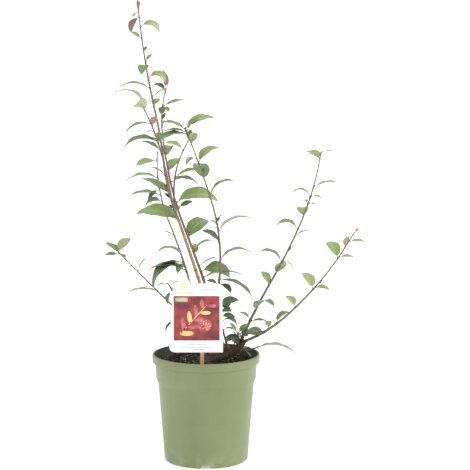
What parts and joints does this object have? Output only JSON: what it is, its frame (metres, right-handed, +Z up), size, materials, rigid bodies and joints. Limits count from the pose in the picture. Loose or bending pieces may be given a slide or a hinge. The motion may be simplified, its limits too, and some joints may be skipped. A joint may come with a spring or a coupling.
{
  "type": "potted camellia shrub",
  "caption": "Young upright camellia shrub with arching leaves on slim branching stems, in a tapered deep nursery pot with a plain picture label on a stick.",
  "frame": {"origin": "centre of the pot's flat underside", "axes": "+Z up, -Y to the front where the label stands, +X to the right of that front view"},
  "size_m": [0.4143, 0.1945, 0.7289],
  "materials": {
    "pot_plastic": "sage green moulded plastic, satin",
    "compost": "dark damp peat compost with bark bits",
    "stick_wood": "plain pale wood",
    "label_card": "smooth printed card, semi-gloss",
    "bark": "thin grey-brown bark, matt",
    "foliage": "leathery green leaves, satin"
  },
  "bodies": {
    "root": {"pot": "pot_plastic", "soil": "compost", "label_stick": "stick_wood", "label_card": "label_card", "trunk": "bark", "bough_leader": "bark", "bough_rear": "bark", "bough_front": "bark", "bough_upright": "bark", "bough_right_tall": "bark", "bough_right_low": "bark", "bough_left_low": "bark", "foliage_leader": "foliage", "foliage_rear": "foliage", "foliage_front": "foliage", "foliage_upright": "foliage", "foliage_right_tall": "foliage", "foliage_right_low": "foliage", "foliage_left_low": "foliage", "foliage_short_right": "foliage", "foliage_short_left": "foliage", "foliage_fork_sprig": "foliage", "foliage_rim_sprig": "foliage"}
  },
  "joints": []
}
